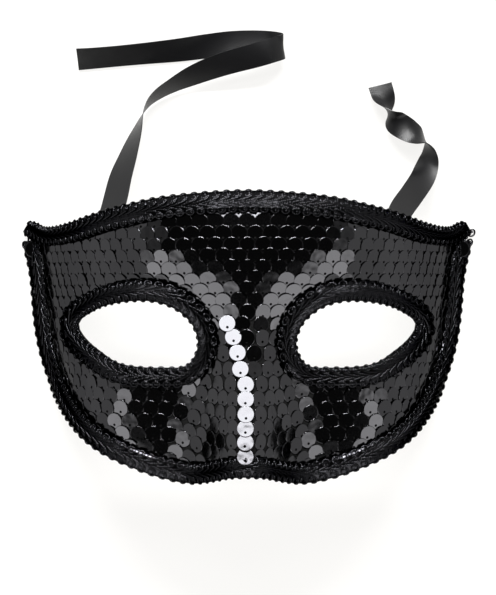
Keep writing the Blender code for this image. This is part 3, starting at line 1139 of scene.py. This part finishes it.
bpy.ops.mesh.primitive_plane_add(size=TABLE_SIZE, location=(0, 0, 0))
table = bpy.context.object
table.name = "light_table"
opal, tree = new_material("opal_acrylic")
lit = add_node(
    tree,
    "ShaderNodeBsdfPrincipled",
    {
        "Base Color": linear("#555554"),
        "Roughness": 0.8,
        "Specular IOR Level": 0.1,
        "Emission Color": linear("#fffefc"),
        "Emission Strength": 0.87,
    },
)
add_node(tree, "ShaderNodeOutputMaterial", links={"Surface": lit.outputs["BSDF"]})
table.data.materials.append(opal)

# %% [markdown]
# The room is the world's background. Its brightness follows from the direction alone: white low
# round the table, nearly black overhead, and a bright band on the chin's side, which the sequins
# that face that way reflect as grey.

# %% White walls, a dark ceiling and a bright band towards the chin
WALL_LIGHT = 1.0
CEILING_LIGHT = 0.04
# cosines of the angles from straight up between which the light changes
CEILING_EDGE = (math.cos(math.radians(66)), math.cos(math.radians(46)))
BAND_LIGHT = 4.0
BAND_LOW = (math.cos(math.radians(68)), math.cos(math.radians(63)))
BAND_HIGH = (math.cos(math.radians(44)), math.cos(math.radians(48)))
# the same for the band's sides, as the Y of the direction
BAND_SIDES = (-0.26, -0.38)

room = bpy.data.worlds.new("studio")
bpy.context.scene.world = room
room.use_nodes = True
tree = room.node_tree
tree.nodes.clear()
way = add_node(tree, "ShaderNodeTexCoord")
split = add_node(tree, "ShaderNodeSeparateXYZ", links={"Vector": way.outputs["Generated"]})
level = add_node(
    tree,
    "ShaderNodeMapRange",
    {
        "From Min": CEILING_EDGE[0],
        "From Max": CEILING_EDGE[1],
        "To Min": WALL_LIGHT,
        "To Max": CEILING_LIGHT,
    },
    {"Value": split.outputs["Z"]},
    interpolation_type="SMOOTHSTEP",
)
strength = level.outputs["Result"]
band = None
for source, (start, end) in (
    (split.outputs["Z"], BAND_LOW),
    (split.outputs["Z"], BAND_HIGH),
    (split.outputs["Y"], BAND_SIDES),
):
    edge = add_node(
        tree,
        "ShaderNodeMapRange",
        {"From Min": start, "From Max": end},
        {"Value": source},
        interpolation_type="SMOOTHSTEP",
    )
    if band is None:
        band = edge.outputs["Result"]
    else:
        both = add_node(
            tree, "ShaderNodeMath", links={0: band, 1: edge.outputs["Result"]}, operation="MULTIPLY"
        )
        band = both.outputs["Value"]
total = add_node(
    tree,
    "ShaderNodeMath",
    {1: BAND_LIGHT},
    {0: band, 2: strength},
    operation="MULTIPLY_ADD",
)
glow = add_node(
    tree,
    "ShaderNodeBackground",
    {"Color": linear("#fffefc")},
    {"Strength": total.outputs["Value"]},
)
add_node(tree, "ShaderNodeOutputWorld", links={"Surface": glow.outputs["Background"]})
print("room light", WALL_LIGHT, "at the walls,", CEILING_LIGHT, "overhead")

# %% [markdown]
# Two softboxes stand on the forehead's side. The small one is what the sequins along the ridge
# of the nose reflect, which turns them white. The wide low one shows in the curled rims of
# level sequins, as thin bright arcs.

# %% Softboxes
LIGHT_AIM = (0, 0, 0.06)


def softbox(name, zenith, azimuth, distance, size, radiance):
    """A rectangular light that faces the mask, placed by its angle from straight up."""
    zenith, azimuth = math.radians(zenith), math.radians(azimuth)
    aside = math.sin(zenith)
    way = Vector((aside * math.cos(azimuth), aside * math.sin(azimuth), math.cos(zenith)))
    aim = Vector(LIGHT_AIM)
    facing = way.to_track_quat("Z", "Y").to_euler()
    bpy.ops.object.light_add(type="AREA", location=aim + way * distance, rotation=facing)
    light = bpy.context.object
    light.name = name
    light.data.shape = "RECTANGLE"
    light.data.size, light.data.size_y = size
    # watts, so that the light looks equally bright whatever its size
    light.data.energy = radiance * math.pi * size[0] * size[1]
    print(f"{name} softbox: {light.data.energy:.1f} W")


softbox("key", 28, 92, 1.6, (0.36, 0.30), 21)
softbox("back", 46, 90, 1.5, (1.20, 0.16), 150)

bpy.context.scene.view_settings.view_transform = "Standard"
